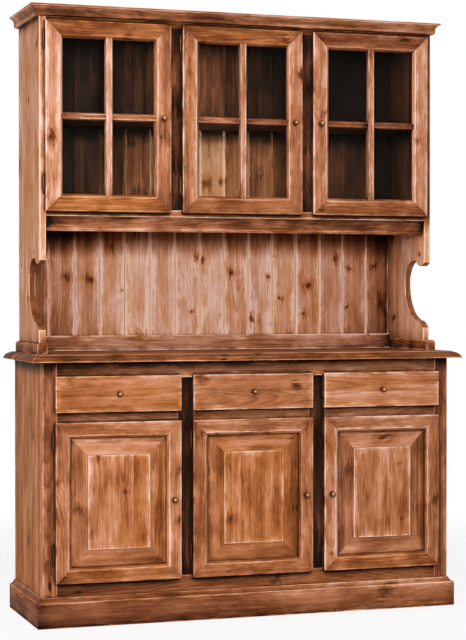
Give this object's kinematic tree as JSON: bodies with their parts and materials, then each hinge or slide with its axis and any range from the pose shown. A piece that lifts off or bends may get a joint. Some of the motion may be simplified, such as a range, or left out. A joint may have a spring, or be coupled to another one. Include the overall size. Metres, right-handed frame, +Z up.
{
  "type": "display cabinet",
  "caption": "Pine display cabinet: a base with drawers over panelled doors, and a hutch with an open niche, scrolled sides and glazed doors under a cornice.",
  "frame": {"origin": "on the floor, at the middle of the width and of the whole depth with the knobs", "axes": "+X to the right as seen from the front, +Y to the back, +Z up"},
  "size_m": [1.566, 0.492, 2.1],
  "materials": {
    "pine": "waxed, honey to reddish brown",
    "inner_pine": "plain, unstained",
    "glass": "clear",
    "brass": "polished, worn",
    "aged_brass": "darkened",
    "steel": "plain"
  },
  "bodies": {
    "cabinet": {"base_back": "inner_pine", "base_bottom": "inner_pine", "base_dividers": "inner_pine", "base_shelves": "inner_pine", "base_sides": "pine", "cornice": "pine", "drawer_runners": "inner_pine", "face_frame_rails": "pine", "face_frame_stiles": "pine", "hinge_pins": "aged_brass", "hutch_apron": "pine", "hutch_back_boards": "pine", "hutch_back_rail": "pine", "hutch_bottom": "pine", "hutch_feet": "pine", "hutch_posts": "pine", "hutch_shelf": "pine", "hutch_sides": "pine", "hutch_top": "pine", "hutch_top_rail": "pine", "plinth": "pine", "shelf_pins": "steel", "worktop": "pine"},
    "drawer_left": {"drawer_left_box": "inner_pine", "drawer_left_front": "pine", "drawer_left_knob": "brass"},
    "base_door_left": {"base_door_left_frame": "pine", "base_door_left_hinges": "aged_brass", "base_door_left_knob": "brass", "base_door_left_panel": "pine"},
    "glass_door_left": {"glass_door_left_bars": "pine", "glass_door_left_frame": "pine", "glass_door_left_glass": "glass", "glass_door_left_hinges": "aged_brass", "glass_door_left_knob": "brass"},
    "drawer_middle": {"drawer_middle_box": "inner_pine", "drawer_middle_front": "pine", "drawer_middle_knob": "brass"},
    "base_door_middle": {"base_door_middle_frame": "pine", "base_door_middle_hinges": "aged_brass", "base_door_middle_knob": "brass", "base_door_middle_panel": "pine"},
    "glass_door_middle": {"glass_door_middle_bars": "pine", "glass_door_middle_frame": "pine", "glass_door_middle_glass": "glass", "glass_door_middle_hinges": "aged_brass", "glass_door_middle_knob": "brass"},
    "drawer_right": {"drawer_right_box": "inner_pine", "drawer_right_front": "pine", "drawer_right_knob": "brass"},
    "base_door_right": {"base_door_right_frame": "pine", "base_door_right_hinges": "aged_brass", "base_door_right_knob": "brass", "base_door_right_panel": "pine"},
    "glass_door_right": {"glass_door_right_bars": "pine", "glass_door_right_frame": "pine", "glass_door_right_glass": "glass", "glass_door_right_hinges": "aged_brass", "glass_door_right_knob": "brass"}
  },
  "joints": [
    {"name": "drawer_left_slide", "type": "slide", "parent": "cabinet", "child": "drawer_left", "axis": [0, -1, 0], "range_m": [0, 0.3]},
    {"name": "drawer_middle_slide", "type": "slide", "parent": "cabinet", "child": "drawer_middle", "axis": [0, -1, 0], "range_m": [0, 0.3]},
    {"name": "drawer_right_slide", "type": "slide", "parent": "cabinet", "child": "drawer_right", "axis": [0, -1, 0], "range_m": [0, 0.3]},
    {"name": "base_door_left_hinge", "type": "hinge", "parent": "cabinet", "child": "base_door_left", "pos_m": [-0.705, -0.205, 0.4165], "axis": [0, 0, -1], "range_deg": [0, 105]},
    {"name": "base_door_middle_hinge", "type": "hinge", "parent": "cabinet", "child": "base_door_middle", "pos_m": [-0.224, -0.205, 0.4165], "axis": [0, 0, -1], "range_deg": [0, 105]},
    {"name": "base_door_right_hinge", "type": "hinge", "parent": "cabinet", "child": "base_door_right", "pos_m": [0.705, -0.205, 0.4165], "axis": [0, 0, 1], "range_deg": [0, 105]},
    {"name": "glass_door_left_hinge", "type": "hinge", "parent": "cabinet", "child": "glass_door_left", "pos_m": [-0.712, -0.094, 1.723], "axis": [0, 0, -1], "range_deg": [0, 105]},
    {"name": "glass_door_middle_hinge", "type": "hinge", "parent": "cabinet", "child": "glass_door_middle", "pos_m": [-0.22667, -0.094, 1.723], "axis": [0, 0, -1], "range_deg": [0, 105]},
    {"name": "glass_door_right_hinge", "type": "hinge", "parent": "cabinet", "child": "glass_door_right", "pos_m": [0.712, -0.094, 1.723], "axis": [0, 0, 1], "range_deg": [0, 105]}
  ]
}
